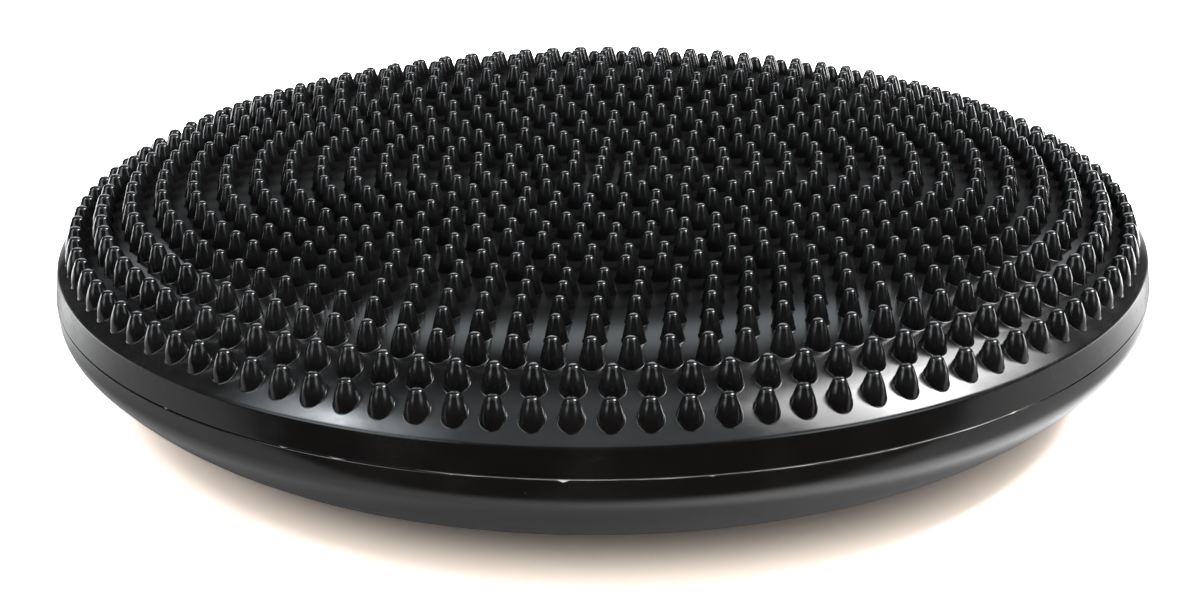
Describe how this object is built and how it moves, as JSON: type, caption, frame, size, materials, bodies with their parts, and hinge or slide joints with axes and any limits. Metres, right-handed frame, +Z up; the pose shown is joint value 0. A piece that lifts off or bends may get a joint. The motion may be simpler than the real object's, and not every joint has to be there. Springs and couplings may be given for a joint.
{
  "type": "wobble cushion",
  "caption": "Round air-filled balance cushion with a studded top, a smooth domed underside, a welded rim and a stoppered air valve.",
  "frame": {"origin": "on the floor under the centre of the disc", "axes": "+Z up through the centre of the disc, -Y towards the front, +Y out through the air valve"},
  "size_m": [0.3272, 0.3272, 0.0668],
  "materials": {
    "black_pvc": "glossy soft black PVC, lightly scuffed",
    "black_pvc_underside": "glossy soft black PVC, faintly satin where it rests",
    "valve_seat_rubber": "matt black rubber",
    "valve_core_rubber": "matt dark brown-grey rubber",
    "stopper_plastic": "satin black plastic"
  },
  "bodies": {
    "cushion": {"top_shell": "black_pvc", "bottom_shell": "black_pvc_underside", "valve_seat": "valve_seat_rubber", "valve_core": "valve_core_rubber"},
    "stopper": {"valve_stopper": "stopper_plastic"}
  },
  "joints": [
    {"name": "stopper_pull", "type": "slide", "parent": "cushion", "child": "stopper", "axis": [0, 1, 0], "range_m": [0, 0.012]}
  ]
}
